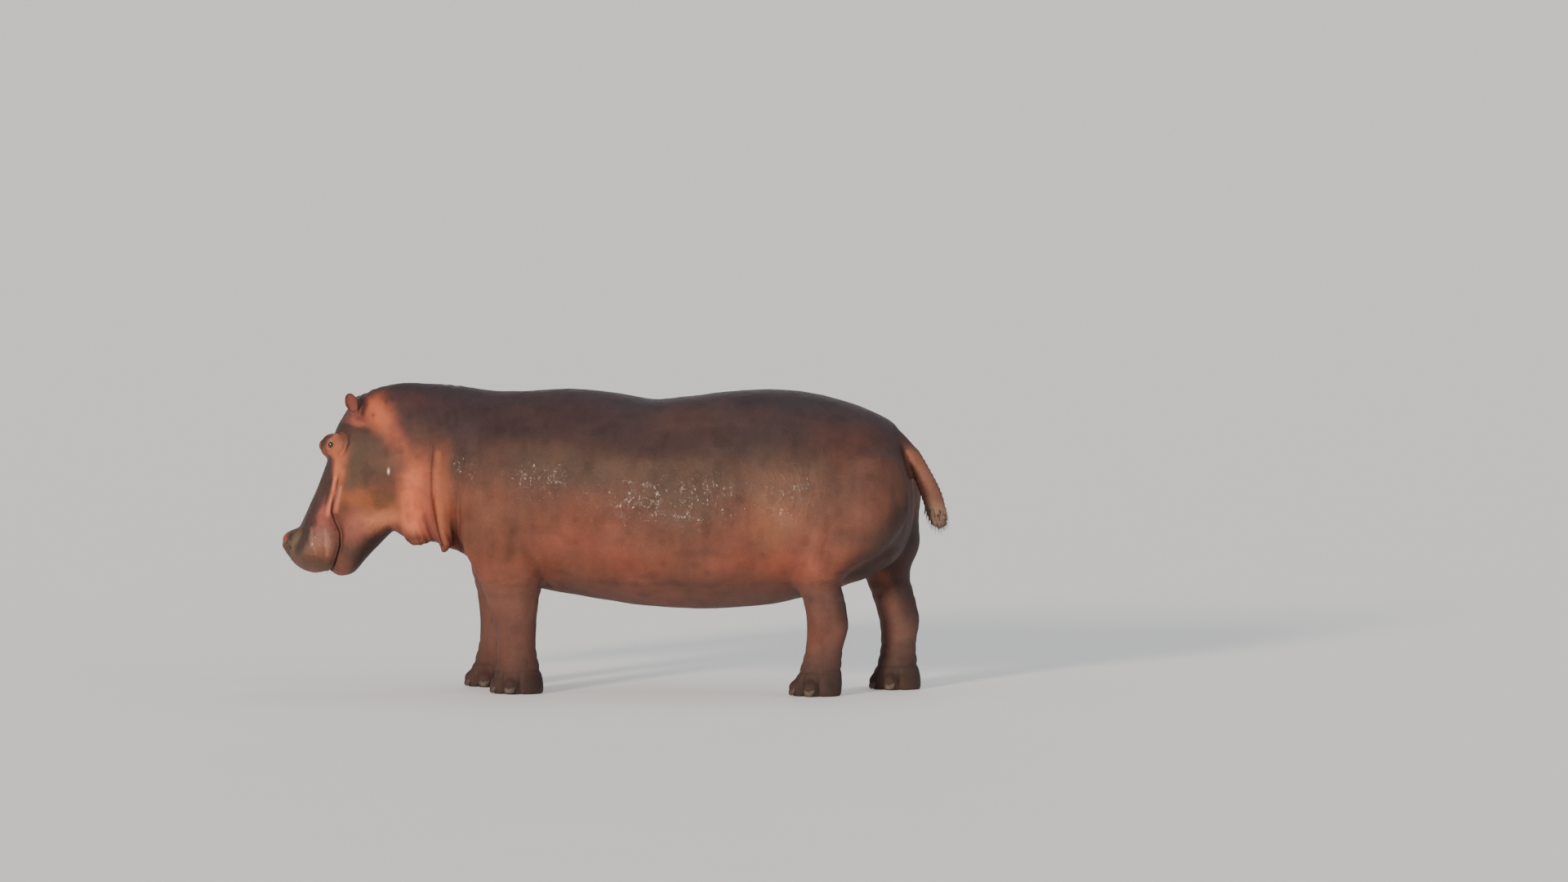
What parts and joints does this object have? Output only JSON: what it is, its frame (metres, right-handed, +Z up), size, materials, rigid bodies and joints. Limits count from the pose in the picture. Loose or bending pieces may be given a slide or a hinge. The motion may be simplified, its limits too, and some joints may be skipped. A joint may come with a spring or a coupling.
{
  "type": "hippopotamus model",
  "caption": "Life-size hippopotamus standing with lowered head, closed mouth, heavy barrel body, short stout legs and hanging tail.",
  "frame": {"origin": "on the ground, under the middle of the animal's box", "axes": "-X towards the head, +X towards the tail, -Y the animal's left, +Z up"},
  "size_m": [3.1864, 1.0726, 1.4731],
  "materials": {
    "hide": "thick bare hide, dark purple grey above and pink orange below, damp with small glints",
    "toenail": "dull dark horn, slightly worn",
    "eye": "wet dark brown eyeball"
  },
  "bodies": {
    "root": {"trunk": "hide", "neck": "hide", "head": "hide", "lower_jaw": "hide", "tail": "hide", "ear_left": "hide", "ear_right": "hide", "foreleg_left": "hide", "foreleg_right": "hide", "hindleg_left": "hide", "hindleg_right": "hide", "foreleg_left_nail_1": "toenail", "foreleg_left_nail_2": "toenail", "foreleg_left_nail_3": "toenail", "foreleg_left_nail_4": "toenail", "foreleg_right_nail_1": "toenail", "foreleg_right_nail_2": "toenail", "foreleg_right_nail_3": "toenail", "foreleg_right_nail_4": "toenail", "hindleg_left_nail_1": "toenail", "hindleg_left_nail_2": "toenail", "hindleg_left_nail_3": "toenail", "hindleg_left_nail_4": "toenail", "hindleg_right_nail_1": "toenail", "hindleg_right_nail_2": "toenail", "hindleg_right_nail_3": "toenail", "hindleg_right_nail_4": "toenail", "eye_left": "eye", "eye_right": "eye"}
  },
  "joints": []
}
